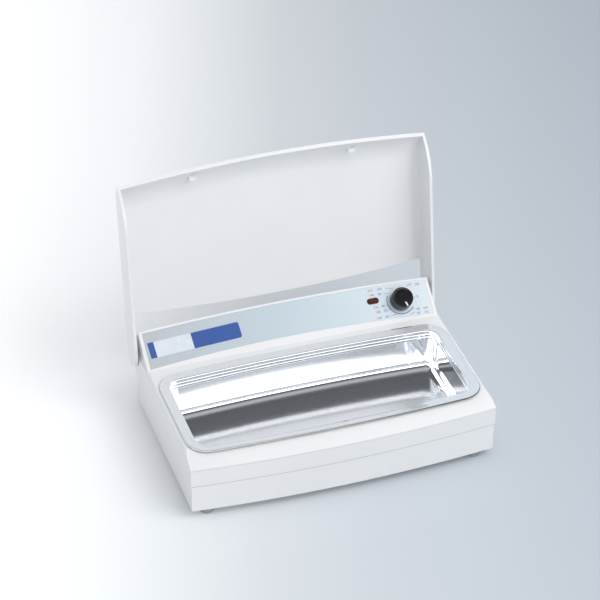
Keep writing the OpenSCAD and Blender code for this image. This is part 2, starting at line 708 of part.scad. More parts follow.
module lid_shell() color([0.95, 0.95, 0.96]) lid_pose() difference() {
  lid_solid(0);
  lid_solid(lid_t);
  difference() {
    translate([-arm_in, -plate_u - plate_bow - 8, -60]) cube([2 * arm_in, 100, 120]);
    translate([0, -plate_u - plate_rad, -61]) cylinder(r = plate_rad, h = 122, $fn = big_fn);
  }
  mirrored() translate([arm_in - 1, 0, 0]) rotate([0, 90, 0]) cylinder(r = pin_r, h = 3);
}

// Soft buffers inside the lip that come to rest on the shoulder.
module lid_buffers() color([0.9, 0.9, 0.9]) lid_pose() mirrored() intersection() {
  translate([buffer_x, 4.5 - lid_l, buffer_n]) cube([7, 4, 12]);
  lid_solid(lid_t);
}

module hinge_pins() color([0.75, 0.76, 0.78]) lid_pose() mirrored()
  translate([hw - 12, 0, 0]) rotate([0, 90, 0]) cylinder(r = pin_r, h = 12 + arm_gap + 2);

module temperature_knob() color([0.06, 0.06, 0.07]) placed() on_panel(knob_x, knob_v, 0)
  difference() {
    union() {
      translate([0, 0, 0.6]) cylinder(r = knob_r, h = knob_h - 1.6);
      translate([0, 0, knob_h - 1 - e]) cylinder(r1 = knob_r, r2 = knob_r - 1, h = 1 + e);
    }
    translate([0, 0, -1]) cylinder(r = 8.6, h = 5.2);
    translate([0, 0, 2]) cylinder(r = 3, h = 7);
    rotate([0, 0, -pointer_a]) translate([-0.8, knob_r - 6.2, knob_h - 0.6]) cube([1.6, 5, 2]);
  }

module knob_pointer() color([0.95, 0.95, 0.95]) placed() on_panel(knob_x, knob_v, 0)
  rotate([0, 0, -pointer_a]) translate([-0.8, knob_r - 6.2, knob_h - 0.6]) cube([1.6, 5, 0.6]);

module thermostat_shaft() color([0.75, 0.76, 0.78]) placed() on_panel(knob_x, knob_v, -6)
  cylinder(r = 3, h = 15);

lower_housing();
upper_housing();
trough();
trough_gasket();
heater_mat();
insulation();
clamp_plate();
clamp_nuts();
trough_straps();
strap_screws();
control_foil();
label_plate();
pilot_lens();
pilot_body();
thermostat_body();
thermostat_nut();
capillary();
sensor_bulb();
safety_cutout();
terminal_block();
wiring();
earth_lug();
cord_gland();
gland_nut();
hinge_bushes();
rubber_feet();
foot_screws();
housing_screws();
lid_shell();
lid_buffers();
hinge_pins();
temperature_knob();
knob_pointer();
thermostat_shaft();
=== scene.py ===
# Dental lab wax heater, dressed for rendering in the order it is put together:
# shells, trough with its heater, control panel, inner works, knob, feet and lid.
import json

import bpy
import numpy as np
from mathutils import Matrix, Vector


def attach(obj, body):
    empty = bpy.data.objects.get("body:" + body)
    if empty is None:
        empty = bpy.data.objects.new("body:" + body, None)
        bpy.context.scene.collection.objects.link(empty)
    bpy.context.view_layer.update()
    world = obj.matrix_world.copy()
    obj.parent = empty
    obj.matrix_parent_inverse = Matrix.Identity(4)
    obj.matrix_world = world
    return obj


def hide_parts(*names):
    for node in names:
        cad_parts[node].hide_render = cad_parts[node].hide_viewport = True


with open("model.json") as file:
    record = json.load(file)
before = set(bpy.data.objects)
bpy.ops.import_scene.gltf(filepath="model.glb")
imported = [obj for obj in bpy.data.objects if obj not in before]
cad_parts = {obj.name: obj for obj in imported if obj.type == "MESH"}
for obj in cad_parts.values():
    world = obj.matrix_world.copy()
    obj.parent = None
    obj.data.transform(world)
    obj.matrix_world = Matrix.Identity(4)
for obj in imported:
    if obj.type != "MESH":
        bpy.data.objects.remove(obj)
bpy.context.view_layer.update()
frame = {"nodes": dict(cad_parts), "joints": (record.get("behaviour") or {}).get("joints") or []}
nodes = frame["nodes"]


# Camera at the photograph's angle, fitted to the edges of the housing and the lid.
# It stands 2.8 m away with a long lens, and a small shift puts the object in place.
scene = bpy.context.scene
CAMERA_AT = Vector((-0.7414, -2.1064, 1.7701))
AZIMUTH, ELEVATION, ROLL = np.radians([-18.7, 36.1, 0.3])
LENS_MM = 160.1
level = np.cos(ELEVATION)
toward = Vector((np.sin(AZIMUTH) * level, -np.cos(AZIMUTH) * level, np.sin(ELEVATION)))
right = (-toward).cross(Vector((0, 0, 1))).normalized()
up = right.cross(-toward)
right, up = (
    right * np.cos(ROLL) + up * np.sin(ROLL),
    up * np.cos(ROLL) - right * np.sin(ROLL),
)
camera = bpy.data.objects.new("camera", bpy.data.cameras.new("camera"))
camera.data.lens = LENS_MM
camera.data.sensor_width = 36
camera.data.shift_x = 0.0298
camera.data.shift_y = 0.0163
camera.data.clip_end = 50
camera_turn = Matrix((right, up, toward)).transposed().to_4x4()
camera.matrix_world = Matrix.Translation(CAMERA_AT) @ camera_turn
scene.collection.objects.link(camera)
scene.camera = camera
scene.view_settings.view_transform = "Standard"


# Pale studio floor of paper. Painted shade takes its colour from near white at the picture's left
# to a cool grey-blue at its right, and a painted glow lights the far left, as paper lit from there.
def add_mesh(name, points, faces, smooth=True):
    """Puts arrays of points (in metres) and faces into a new object at the origin."""
    mesh = bpy.data.meshes.new(name)
    mesh.from_pydata(np.asarray(points, float).tolist(), [], [tuple(f) for f in faces])
    mesh.validate()
    mesh.update()
    if smooth:
        mesh.polygons.foreach_set("use_smooth", np.ones(len(mesh.polygons), bool))
    piece = bpy.data.objects.new(name, mesh)
    scene.collection.objects.link(piece)
    return piece


def node_material(name, colour, roughness, metallic=0.0):
    """A Principled material with its constants on its own sockets, and its nodes for more."""
    material = bpy.data.materials.new(name)
    material.use_nodes = True
    tree = material.node_tree
    shader = tree.nodes["Principled BSDF"]
    shader.inputs["Base Color"].default_value = (*colour, 1)
    shader.inputs["Roughness"].default_value = roughness
    shader.inputs["Metallic"].default_value = metallic
    return material, tree, shader


def object_noise(tree, scale, detail=3.0, stretch=(1, 1, 1)):
    """Noise on Object coordinates, scale in cycles a metre, stretched along an axis."""
    place = tree.nodes.new("ShaderNodeTexCoord")
    mapping = tree.nodes.new("ShaderNodeMapping")
    mapping.inputs["Scale"].default_value = stretch
    noise = tree.nodes.new("ShaderNodeTexNoise")
    noise.inputs["Scale"].default_value = scale
    noise.inputs["Detail"].default_value = detail
    tree.links.new(place.outputs["Object"], mapping.inputs["Vector"])
    tree.links.new(mapping.outputs["Vector"], noise.inputs["Vector"])
    return noise


def ramp(tree, source, stops):
    """Colour ramp from a list of (position, colour) fed by a socket."""
    node = tree.nodes.new("ShaderNodeValToRGB")
    band = node.color_ramp
    while len(band.elements) < len(stops):
        band.elements.new(0.5)
    for element, (position, colour) in zip(band.elements, stops):
        element.position = position
        element.color = (*colour, 1)
    tree.links.new(source, node.inputs["Fac"])
    return node.outputs["Color"]


def place_between(tree, axis, low, high, least=0.0, most=1.0):
    """A value that goes from least to most while the place along an axis goes from low to high."""
    place = tree.nodes.new("ShaderNodeTexCoord")
    split = tree.nodes.new("ShaderNodeSeparateXYZ")
    share = tree.nodes.new("ShaderNodeMapRange")
    share.inputs["From Min"].default_value = low
    share.inputs["From Max"].default_value = high
    share.inputs["To Min"].default_value = least
    share.inputs["To Max"].default_value = most
    tree.links.new(place.outputs["Object"], split.inputs["Vector"])
    tree.links.new(split.outputs[axis], share.inputs["Value"])
    return share.outputs["Result"]


def grey(value):
    return (value, value, value)


def bump(tree, shader, source, distance, strength=1.0):
    """Raises the surface by distance metres where the source is bright."""
    node = tree.nodes.new("ShaderNodeBump")
    node.inputs["Distance"].default_value = distance
    node.inputs["Strength"].default_value = strength
    tree.links.new(source, node.inputs["Height"])
    tree.links.new(node.outputs["Normal"], shader.inputs["Normal"])


FLOOR_HALF = 6.0
floor_corners = np.array([(-1, -1, 0), (1, -1, 0), (1, 1, 0), (-1, 1, 0)]) * FLOOR_HALF
floor = add_mesh("studio_floor", floor_corners, [(0, 1, 2, 3)], smooth=False)
paper, tree, shader = node_material("studio_paper", (0.8, 0.83, 0.86), 0.9)
place = tree.nodes.new("ShaderNodeTexCoord")
rightward = tree.nodes.new("ShaderNodeVectorMath")
rightward.operation = "DOT_PRODUCT"
rightward.inputs[1].default_value = (0.943, -0.332, 0)
across = tree.nodes.new("ShaderNodeMapRange")
across.inputs["From Min"].default_value = -0.5
across.inputs["From Max"].default_value = 0.42
tree.links.new(place.outputs["Object"], rightward.inputs[0])
tree.links.new(rightward.outputs["Value"], across.inputs["Value"])
# Painted shade: the paper's colour darkens and cools towards the picture's right.
PAPER_SHADE_STOPS = [
    (0, (0.88, 0.89, 0.9)),
    (0.3, (0.84, 0.86, 0.88)),
    (0.62, (0.6, 0.64, 0.68)),
    (1, (0.44, 0.5, 0.56)),
]
paper_painted_shade = ramp(tree, across.outputs["Result"], PAPER_SHADE_STOPS)
tree.links.new(paper_painted_shade, shader.inputs["Base Color"])
# Painted glow: emission that brightens the paper's far left.
PAINTED_GLOW_STOPS = [(0, grey(0.36)), (0.2, grey(0.24)), (0.5, grey(0.02))]
painted_glow = ramp(tree, across.outputs["Result"], PAINTED_GLOW_STOPS)
tree.links.new(painted_glow, shader.inputs["Emission Color"])
shader.inputs["Emission Strength"].default_value = 1.0
floor.data.materials.append(paper)


# Studio light: soft boxes high at the right, in front and above, and an even surround.
# Metal sees no box. It mirrors the surround instead, which is bright in front up to some
# 37 degrees and dark above that, and pale blue-grey behind.
LAMP_TARGET = Vector((0, 0, 0.08))
LAMPS = [
    ("key", (1.0, -1.0, 1.9), 1.5, 23.0),
    ("fill", (0.3, -2.1, 1.1), 1.4, 9.0),
    ("top", (0.0, 0.6, 2.2), 1.8, 4.0),
]
for lamp_name, at, side, power in LAMPS:
    lamp = bpy.data.lights.new(lamp_name, "AREA")
    lamp.size = side
    lamp.energy = power
    holder = bpy.data.objects.new(lamp_name, lamp)
    aim = LAMP_TARGET - Vector(at)
    aimed = aim.to_track_quat("-Z", "Y").to_matrix().to_4x4()
    holder.matrix_world = Matrix.Translation(at) @ aimed
    holder.visible_glossy = False
    scene.collection.objects.link(holder)

world = bpy.data.worlds.new("surround")
world.use_nodes = True
scene.world = world
tree = world.node_tree
sky = tree.nodes["Background"]
heading = tree.nodes.new("ShaderNodeTexCoord")
split = tree.nodes.new("ShaderNodeSeparateXYZ")
tree.links.new(heading.outputs["Generated"], split.inputs["Vector"])
climb = tree.nodes.new("ShaderNodeMapRange")
climb.inputs["From Min"].default_value = 0.0
climb.inputs["From Max"].default_value = 1.0
tree.links.new(split.outputs["Z"], climb.inputs["Value"])
FRONT_STOPS = [
    (0.0, (0.6, 0.62, 0.65)),
    (0.35, (0.97, 0.98, 1.0)),
    (0.6, (0.97, 0.98, 1.0)),
    (0.635, (0.035, 0.035, 0.04)),
    (0.8, (0.05, 0.05, 0.055)),
    (1.0, (0.22, 0.22, 0.23)),
]
REAR_STOPS = [(0.0, (0.62, 0.68, 0.75)), (0.6, (0.8, 0.86, 0.92)), (1.0, (0.5, 0.5, 0.52))]
FRONT_LIFT = 2.6
height_tone = ramp(tree, climb.outputs["Result"], FRONT_STOPS)
rear_tone = ramp(tree, climb.outputs["Result"], REAR_STOPS)
facing = tree.nodes.new("ShaderNodeMapRange")
facing.inputs["From Min"].default_value = -0.15
facing.inputs["From Max"].default_value = 0.15
tree.links.new(split.outputs["Y"], facing.inputs["Value"])
mirror_sky = tree.nodes.new("ShaderNodeMix")
mirror_sky.data_type = "RGBA"
tree.links.new(facing.outputs["Result"], mirror_sky.inputs[0])
tree.links.new(rear_tone, mirror_sky.inputs[7])
path = tree.nodes.new("ShaderNodeLightPath")
pick = tree.nodes.new("ShaderNodeMix")
pick.data_type = "RGBA"
pick.inputs[6].default_value = (0.575, 0.585, 0.6, 1)
lift = tree.nodes.new("ShaderNodeVectorMath")
lift.operation = "SCALE"
lift.inputs["Scale"].default_value = FRONT_LIFT
tree.links.new(height_tone, lift.inputs[0])
tree.links.new(lift.outputs["Vector"], mirror_sky.inputs[6])
tree.links.new(path.outputs["Is Glossy Ray"], pick.inputs[0])
tree.links.new(mirror_sky.outputs[2], pick.inputs[7])
tree.links.new(pick.outputs[2], sky.inputs["Color"])
sky.inputs["Strength"].default_value = 1.0


# Housing: two shells of white ABS, injection moulded with a fine matt grain. Four screws
# from below pull the lower shell against the upper one, and painted shade darkens the seam between them.
def moulded(name, colour, roughness, grain):
    """Moulded plastic: a faint flow tone, and a grain raised by that many metres."""
    material, tree, shader = node_material(name, colour, roughness)
    flow = object_noise(tree, 14, 2)
    tone = ramp(tree, flow.outputs["Fac"], [(0.3, tuple(0.975 * c for c in colour)), (0.7, colour)])
    tree.links.new(tone, shader.inputs["Base Color"])
    texture = object_noise(tree, 2600, 2)
    bump(tree, shader, texture.outputs["Fac"], grain)
    return material


def dress(material, *names):
    """Puts the material alone on the named pieces of the frame."""
    for name in names:
        nodes[name].data.materials.clear()
        nodes[name].data.materials.append(material)


MM = 0.001
PIVOT_Y, PIVOT_Z, PARTING_H = 200 * MM, 52 * MM, 32 * MM
ABS_COLOUR, ABS_ROUGHNESS, ABS_GRAIN = (0.82, 0.825, 0.835), 0.34, 0.02 * MM
SEAM_REACH = 1.2 * MM
pivot = Vector(frame["joints"][0]["pos_m"])
ORIGIN = pivot - Vector((0, PIVOT_Y, PIVOT_Z))
PARTING_Z = ORIGIN.z + PARTING_H
shell_abs = moulded("white_abs_painted_seam_shade", ABS_COLOUR, ABS_ROUGHNESS, ABS_GRAIN)
tree = shell_abs.node_tree
shader = tree.nodes["Principled BSDF"]
# Painted shade: the base colour is halved in a band round the parting line, as the shadow of the upper
# shell's step.
seam_height = place_between(tree, "Z", PARTING_Z - SEAM_REACH, PARTING_Z + SEAM_REACH)
SEAM_SHADE_STOPS = [(0.1, grey(1)), (0.38, grey(0.5)), (0.6, grey(0.5)), (0.8, grey(1))]
seam = ramp(tree, seam_height, SEAM_SHADE_STOPS)
painted_seam_shade = tree.nodes.new("ShaderNodeMix")
painted_seam_shade.data_type = "RGBA"
painted_seam_shade.blend_type = "MULTIPLY"
painted_seam_shade.inputs[0].default_value = 1.0
tree.links.new(shader.inputs["Base Color"].links[0].from_socket, painted_seam_shade.inputs[6])
tree.links.new(seam, painted_seam_shade.inputs[7])
tree.links.new(painted_seam_shade.outputs[2], shader.inputs["Base Color"])
dress(shell_abs, "upper_housing", "lower_housing")


# Trough: one deep-drawn sheet of polished stainless steel with a wide rolled rim. Two
# beads run round below the rim, and its floor keeps the satin of the rolled sheet.
OPENING_W, OPENING_Y0, OPENING_Y1 = 149 * MM, 26 * MM, 137 * MM
BOW_FRONT, BOW_REAR, CORNER = 5 * MM, 4.5 * MM, 13 * MM
RIM_Z, DEPTH, SHEET = 62.8 * MM, 47 * MM, 0.8 * MM
RING_POINTS = (150, 34, 34, 150, 34, 34)


def opening_ring(inset):
    """Points round the bowed opening moved inwards: two large arcs joined by corner arcs.

    Each bowed edge is an arc through its ends and its middle. A corner's centre lies
    one corner radius inside both the side and the bowed arc, so all of them are tangent."""
    w, y0, y1 = OPENING_W - inset, OPENING_Y0 + inset, OPENING_Y1 - inset
    r = max(CORNER - inset, 2.5 * MM)
    r0 = (w * w + BOW_FRONT**2) / (2 * BOW_FRONT)
    r1 = (w * w + BOW_REAR**2) / (2 * BOW_REAR)
    c0, c1, xc = y0 - BOW_FRONT + r0, y1 + BOW_REAR - r1, w - r
    k0 = c0 - np.sqrt((r0 - r) ** 2 - xc**2)
    k1 = c1 + np.sqrt((r1 - r) ** 2 - xc**2)
    a0, a1 = np.arcsin(xc / (r0 - r)), np.arcsin(xc / (r1 - r))
    quarter = np.pi / 2
    t = [np.arange(n) / n for n in RING_POINTS]
    front = a0 * (2 * t[0] - 1)
    rear = a1 * (1 - 2 * t[3])
    parts = [
        (r0 * np.sin(front), c0 - r0 * np.cos(front)),
        (xc + r * np.sin(a0 + (quarter - a0) * t[1]), k0 - r * np.cos(a0 + (quarter - a0) * t[1])),
        (xc + r * np.cos((quarter - a1) * t[2]), k1 + r * np.sin((quarter - a1) * t[2])),
        (r1 * np.sin(rear), c1 + r1 * np.cos(rear)),
        (-xc - r * np.sin(a1 + (quarter - a1) * t[4]), k1 + r * np.cos(a1 + (quarter - a1) * t[4])),
        (-xc - r * np.cos((quarter - a0) * t[5]), k0 - r * np.sin((quarter - a0) * t[5])),
    ]
    return np.stack([np.concatenate([p[0] for p in parts]), np.concatenate([p[1] for p in parts])], 1)


def trough_profile():
    """Section of the sheet in mm, as (inset, height from the rim): up the rolled edge, over
    the flange, down the wall past two beads, round the bottom radius, and back outside."""
    roll = np.linspace(np.pi, np.pi / 2, 8)
    edge = [(-10.0 + 1.1 * np.cos(a), -1.0 + np.sin(a)) for a in roll]
    flange = [(-8.4, -0.06), (-6.5, -0.3), (-4.0, -0.42), (-2.4, -0.42)]
    bend = np.linspace(0.15, np.pi / 2, 8)
    lip = [(-1.4 + 1.5 * np.sin(a), -1.95 + 1.5 * np.cos(a)) for a in bend]
    wall = []
    for depth in np.linspace(2.6, 36.5, 90):
        bead = sum(0.42 * np.exp(-(((depth - middle) / 0.75) ** 2)) for middle in (5.6, 9.2))
        wall.append((0.1 + 2.4 * (depth / 38) ** 1.1 + bead, -depth))
    bend = np.linspace(0.12, np.pi / 2, 14)
    floor_arc = [(2.5 + 9 * (1 - np.cos(a)), -47 + 9 * (1 - np.sin(a))) for a in bend]
    flat = [(inset, -47) for inset in (11.7, 12.2, 14, 18, 26, 40)]
    under = [(40, -47.8), (11.5, -47.8), (5.0, -46.2), (1.9, -41.0), (1.6, -38)]
    under += [(-0.8, -2.6), (-1.5, -1.0), (-9.8, -1.0), (-11.0, -0.98)]
    return np.array(edge + flange + lip + wall + floor_arc + flat), np.array(under)


def grid_quads(rows, columns):
    """Four-sided faces between neighbouring rows of closed rings of that many points."""
    row, col = np.meshgrid(np.arange(rows - 1), np.arange(columns), indexing="ij")
    after = (col + 1) % columns
    here, below = row * columns, (row + 1) * columns
    return np.stack([here + col, here + after, below + after, below + col], -1)


inner, under = trough_profile()
profile = np.concatenate([inner, under]) * MM
rings = [np.column_stack([opening_ring(d), np.full(sum(RING_POINTS), RIM_Z + h)]) for d, h in profile]
count = sum(RING_POINTS)
points = np.concatenate(rings)
quads = grid_quads(len(profile), count)
quads = quads[np.arange(len(profile) - 1) != len(inner) - 1].reshape(-1, 4)
last = (len(profile) - 1) * count
around = np.arange(count)
seam = np.stack([last + around, last + (around + 1) % count, (around + 1) % count, around], -1)
centre_in, centre_out = len(points), len(points) + 1
middle_y = (OPENING_Y0 + OPENING_Y1) / 2
floor_middle = [(0, middle_y, RIM_Z - DEPTH), (0, middle_y, RIM_Z - DEPTH - SHEET)]
points = np.concatenate([points, floor_middle])
bottom = (len(inner) - 1) * count + around
bottom_next = (len(inner) - 1) * count + (around + 1) % count
faces = [tuple(f) for f in quads.tolist()] + [tuple(f) for f in seam.tolist()]
faces += [(a, b, centre_in) for a, b in zip(bottom.tolist(), bottom_next.tolist())]
faces += [(b + count, a + count, centre_out) for a, b in zip(bottom.tolist(), bottom_next.tolist())]
trough = add_mesh("polished_trough", points + np.array(ORIGIN), faces)
steel, tree, shader = node_material("polished_steel", (0.86, 0.87, 0.885), 0.07, 1.0)
FLOOR_Z = ORIGIN.z + RIM_Z - DEPTH
low_down = place_between(tree, "Z", FLOOR_Z + 1.5 * MM, FLOOR_Z)
polish = ramp(tree, low_down, [(0.0, grey(0.03)), (1.0, grey(0.135))])
tree.links.new(polish, shader.inputs["Roughness"])
brushing = object_noise(tree, 1400, 4, (1, 0.06, 1))
SATIN_STOPS = [(0.35, (0.84, 0.85, 0.87)), (0.65, (0.9, 0.91, 0.925))]
satin = ramp(tree, brushing.outputs["Fac"], SATIN_STOPS)
# Painted shade: the rolled edge's colour is mixed towards near black, more towards +x than towards -x.
edge = tree.nodes.new("ShaderNodeAttribute")
edge.attribute_name = "rolled_edge"
edge_shade_share = place_between(tree, "X", -0.16, 0.13, 0.25, 0.96)
painted_edge_shade = tree.nodes.new("ShaderNodeMath")
painted_edge_shade.operation = "MULTIPLY"
tree.links.new(edge.outputs["Fac"], painted_edge_shade.inputs[0])
tree.links.new(edge_shade_share, painted_edge_shade.inputs[1])
blend = tree.nodes.new("ShaderNodeMix")
blend.data_type = "RGBA"
blend.inputs[7].default_value = (0.03, 0.032, 0.036, 1)
tree.links.new(painted_edge_shade.outputs["Value"], blend.inputs[0])
tree.links.new(satin, blend.inputs[6])
tree.links.new(blend.outputs[2], shader.inputs["Base Color"])
EDGE_RINGS_ABOVE, EDGE_RINGS_BELOW = 5, 2
on_edge = np.zeros(len(points))
on_edge[: EDGE_RINGS_ABOVE * count] = 1
on_edge[(len(profile) - EDGE_RINGS_BELOW) * count : len(profile) * count] = 1
rolled = trough.data.attributes.new("rolled_edge", "FLOAT", "POINT")
rolled.data.foreach_set("value", on_edge)
trough.data.materials.append(steel)
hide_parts("trough")
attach(trough, "base")


# Heater under the trough: a silicone mat with its foil element, mineral wool and a zinc
# plated clamp plate, pressed up by four nuts on the trough's studs.
rubber_mat, tree, shader = node_material("silicone_mat", (0.55, 0.16, 0.07), 0.55)
weave = object_noise(tree, 1200, 1, (1, 1, 0.2))
WEAVE_STOPS = [(0.35, (0.46, 0.12, 0.05)), (0.65, (0.6, 0.19, 0.09))]
tree.links.new(ramp(tree, weave.outputs["Fac"], WEAVE_STOPS), shader.inputs["Base Color"])
bump(tree, shader, weave.outputs["Fac"], 0.00008)
dress(rubber_mat, "heater_mat")
wool, tree, shader = node_material("mineral_wool", (0.62, 0.58, 0.42), 0.95)
fibres = object_noise(tree, 700, 6, (0.25, 1, 2.5))
WOOL_STOPS = [(0.3, (0.42, 0.38, 0.25)), (0.7, (0.74, 0.7, 0.55))]
tree.links.new(ramp(tree, fibres.outputs["Fac"], WOOL_STOPS), shader.inputs["Base Color"])
bump(tree, shader, fibres.outputs["Fac"], 0.0004)
dress(wool, "insulation")
gasket, tree, shader = node_material("gasket", (0.62, 0.63, 0.64), 0.6)
speckle = object_noise(tree, 2000, 2)
GASKET_STOPS = [(0.3, (0.56, 0.57, 0.58)), (0.7, (0.68, 0.69, 0.7))]
tree.links.new(ramp(tree, speckle.outputs["Fac"], GASKET_STOPS), shader.inputs["Base Color"])
dress(gasket, "trough_gasket")


def plated(name, colour, roughness, spangle):
    """Plated metal whose colour and polish follow a noise of that many cycles a metre."""
    material, tree, shader = node_material(name, colour, roughness, 1.0)
    cells = object_noise(tree, spangle, 3)
    shade = ramp(tree, cells.outputs["Fac"], [(0.3, tuple(0.82 * c for c in colour)), (0.7, colour)])
    dull = ramp(tree, cells.outputs["Fac"], [(0.3, grey(roughness)), (0.7, grey(roughness + 0.14))])
    tree.links.new(shade, shader.inputs["Base Color"])
    tree.links.new(dull, shader.inputs["Roughness"])
    return material


dress(plated("zinc_sheet", (0.6, 0.62, 0.64), 0.34, 180), "clamp_plate", "trough_straps")
zinc = plated("zinc_steel", (0.66, 0.68, 0.7), 0.28, 900)
dress(zinc, "clamp_nuts", "strap_screws")


# Control foil: a printed silver polyester foil stuck into the recess of the sloped panel.
# Its face is finely brushed along the panel.
foil, tree, shader = node_material("control_foil", (0.45, 0.52, 0.57), 0.34, 0.2)
# Painted light: the foil's colour grows lighter from its left end to its right end.
FOIL_LIGHT_STOPS = [(0.0, (0.53, 0.57, 0.6)), (0.5, (0.57, 0.67, 0.73)), (1.0, (0.74, 0.82, 0.87))]
foil_painted_light = ramp(tree, place_between(tree, "X", -0.16, 0.16), FOIL_LIGHT_STOPS)
tree.links.new(foil_painted_light, shader.inputs["Base Color"])
hairline = object_noise(tree, 1800, 3, (0.03, 1, 1))
bump(tree, shader, hairline.outputs["Fac"], 0.00001, 0.4)
dress(foil, "control_foil")

PANEL_Y, PANEL_Z, SLOPE = 162 * MM, 61 * MM, np.radians(37)
FOIL_FACE = -0.2 * MM
along_panel = np.array([1.0, 0, 0])
up_panel = np.array([0, np.cos(SLOPE), np.sin(SLOPE)])
off_panel = np.array([0, -np.sin(SLOPE), np.cos(SLOPE)])
panel_foot = np.array(ORIGIN) + np.array([0, PANEL_Y, PANEL_Z])


def on_panel(points):
    """Panel places (x, up the slope, off its face), in metres, as points of the frame."""
    points = np.asarray(points, float)
    x, v, height = points[:, :1], points[:, 1:2], points[:, 2:]
    return panel_foot + x * along_panel + v * up_panel + height * off_panel


def thin_plate(name, outline, base, thickness):
    """A flat plate on the panel: an outline (x, v), its face lifted by thickness, and its edge."""
    n = len(outline)
    flat = np.column_stack([outline, np.full(n, base)])
    top = flat + (0, 0, thickness)
    around = np.arange(n)
    after = (around + 1) % n
    sides = np.stack([around, after, after + n, around + n], -1).tolist()
    lids = [tuple(range(n - 1, -1, -1)), tuple(range(n, 2 * n))]
    return add_mesh(name, on_panel(np.concatenate([flat, top])), lids + sides, smooth=False)


# Label field at the left of the foil: a printed plate in three parts, a narrow blue
# end, a pale field and a long blue field with round corners. It is left bare.
LABEL_AT = (-155.2 * MM, 13.0 * MM)
LABEL_TILT = np.radians(2.5)
LABEL_H = 17.4 * MM


def label_outline(x0, x1, corner):
    """Rectangle from x0 to x1 along the label, its right corners rounded as quarter circles."""
    if corner == 0:
        right_side = np.array([[x1, 0], [x1, LABEL_H]])
    else:
        bend = np.linspace(-np.pi / 2, np.pi / 2, 18)
        middle = np.where(bend < 0, corner, LABEL_H - corner)
        ends_x, ends_v = x1 - corner + corner * np.cos(bend), middle + corner * np.sin(bend)
        right_side = np.column_stack([ends_x, ends_v])
    outline = np.concatenate([[[x0, 0]], right_side, [[x0, LABEL_H]]])
    c, s = np.cos(LABEL_TILT), np.sin(LABEL_TILT)
    return outline @ np.array([[c, s], [-s, c]]) + LABEL_AT


def print_ink(name, colour, roughness=0.35):
    """Screen-printed ink: its colour drifts a little."""
    material, tree, shader = node_material(name, colour, roughness)
    drift = object_noise(tree, 160, 2)
    tone = ramp(tree, drift.outputs["Fac"], [(0.3, tuple(0.93 * c for c in colour)), (0.7, colour)])
    tree.links.new(tone, shader.inputs["Base Color"])
    return material


blue_ink = print_ink("blue_ink", (0.035, 0.1, 0.37))
pale_ink = print_ink("pale_ink", (0.72, 0.77, 0.82))
LABEL_PARTS = [
    ("label_end", 0.0, 6.6, 0.0, blue_ink),
    ("label_field", 6.6, 48.0, 0.0, pale_ink),
    ("label_long", 48.0, 101.4, 2.4, blue_ink),
]
for part_name, x0, x1, corner, ink in LABEL_PARTS:
    part = thin_plate(part_name, label_outline(x0 * MM, x1 * MM, corner * MM), FOIL_FACE, 0.3 * MM)
    part.data.materials.append(ink)
    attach(part, "base")
    if part_name == "label_long":
        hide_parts("label_plate")


# Dial print round the knob: a blue arc, the off mark, and two scales, blue in degrees
# Celsius and red in Fahrenheit, with thin leader lines. It is screen printed on the foil.
KNOB_X, KNOB_V = 126.5 * MM, 23.4 * MM
PRINT_LIFT = FOIL_FACE + 0.01 * MM
PRINT_T = 0.04 * MM
red_ink = print_ink("red_ink", (0.42, 0.05, 0.06))
grey_ink = print_ink("grey_ink", (0.12, 0.15, 0.2))


def dial_arc(radius, width, start, end, steps):
    """Outline of a ring's stretch round the knob, from start to end in degrees from +x."""
    angle = np.radians(np.linspace(start, end, steps))
    unit = np.column_stack([np.cos(angle), np.sin(angle)])
    rim = np.concatenate([unit * (radius + width / 2), unit[::-1] * (radius - width / 2)])
    return rim + (KNOB_X, KNOB_V)


def strip(start, end, width):
    """Outline of a straight line of that width between two places on the panel."""
    a, b = np.array(start), np.array(end)
    side = np.array([a[1] - b[1], b[0] - a[0]]) / np.linalg.norm(b - a) * width / 2
    return np.array([a + side, a - side, b - side, b + side])[::-1]


def printed(piece, ink):
    piece.data.materials.append(ink)
    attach(piece, "base")


arc = dial_arc(15.0 * MM, 0.8 * MM, -38, -212, 60)[::-1]
printed(thin_plate("dial_arc", arc, PRINT_LIFT, PRINT_T), blue_ink)
LEADERS = [
    ((113.6, 40.0), (122.0, 38.6)),
    ((109.0, 34.4), (114.8, 33.8)),
    ((109.5, 20.8), (112.3, 21.4)),
    ((110.5, 15.4), (113.0, 16.4)),
    ((110.5, 8.6), (120.0, 9.2)),
    ((134.0, 6.6), (139.0, 7.6)),
    ((137.0, 13.2), (139.0, 11.4)),
    ((141.5, 24.2), (143.8, 24.3)),
]
for i, (a, b) in enumerate(LEADERS):
    line = strip(np.array(a) * MM, np.array(b) * MM, 0.35 * MM)
    printed(thin_plate(f"dial_leader_{i}", line, PRINT_LIFT, PRINT_T), grey_ink)
NUMBERS = [
    ("100", 106.5, 40.2, blue_ink),
    ("90", 105.6, 34.7, blue_ink),
    ("80", 106.0, 20.8, blue_ink),
    ("70", 107.0, 15.3, blue_ink),
    ("60", 107.2, 8.5, blue_ink),
    ("212", 96.2, 40.5, red_ink),
    ("194", 96.6, 35.0, red_ink),
    ("176", 97.6, 20.7, red_ink),
    ("158", 98.4, 15.3, red_ink),
    ("140", 98.2, 8.5, red_ink),
    ("110", 140.6, 38.8, blue_ink),
    ("230", 149.4, 38.0, red_ink),
    ("0", 146.6, 24.3, grey_ink),
    ("40", 143.2, 10.4, blue_ink),
    ("50", 142.6, 6.0, blue_ink),
    ("104", 151.6, 10.0, red_ink),
    ("122", 151.2, 5.4, red_ink),
]
